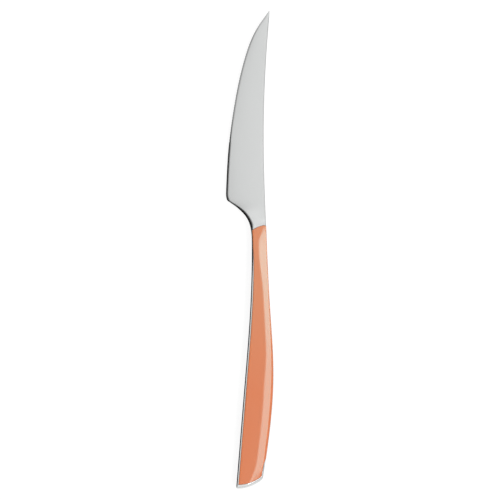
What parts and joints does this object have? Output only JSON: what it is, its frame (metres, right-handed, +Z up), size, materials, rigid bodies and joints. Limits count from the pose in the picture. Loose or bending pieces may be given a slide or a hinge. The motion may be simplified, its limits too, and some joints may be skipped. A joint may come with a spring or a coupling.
{
  "type": "table knife",
  "caption": "Table knife lying flat: a stainless blade with a finely toothed edge runs into a steel-rimmed handle faced with flush glossy orange plastic scales.",
  "frame": {"origin": "on the table, under the centre of the knife's outline, as it lies on the broad flat of its back scale", "axes": "+Y along the knife towards the point, +X towards the back of the blade, +Z up out of the front side"},
  "size_m": [0.0238, 0.2398, 0.0074],
  "materials": {
    "steel": "finely polished stainless steel",
    "orange_plastic": "glossy moulded plastic",
    "adhesive": "cured adhesive"
  },
  "bodies": {
    "root": {"blade_and_tang": "steel", "front_scale": "orange_plastic", "back_scale": "orange_plastic", "front_glue_film": "adhesive", "back_glue_film": "adhesive"}
  },
  "joints": []
}
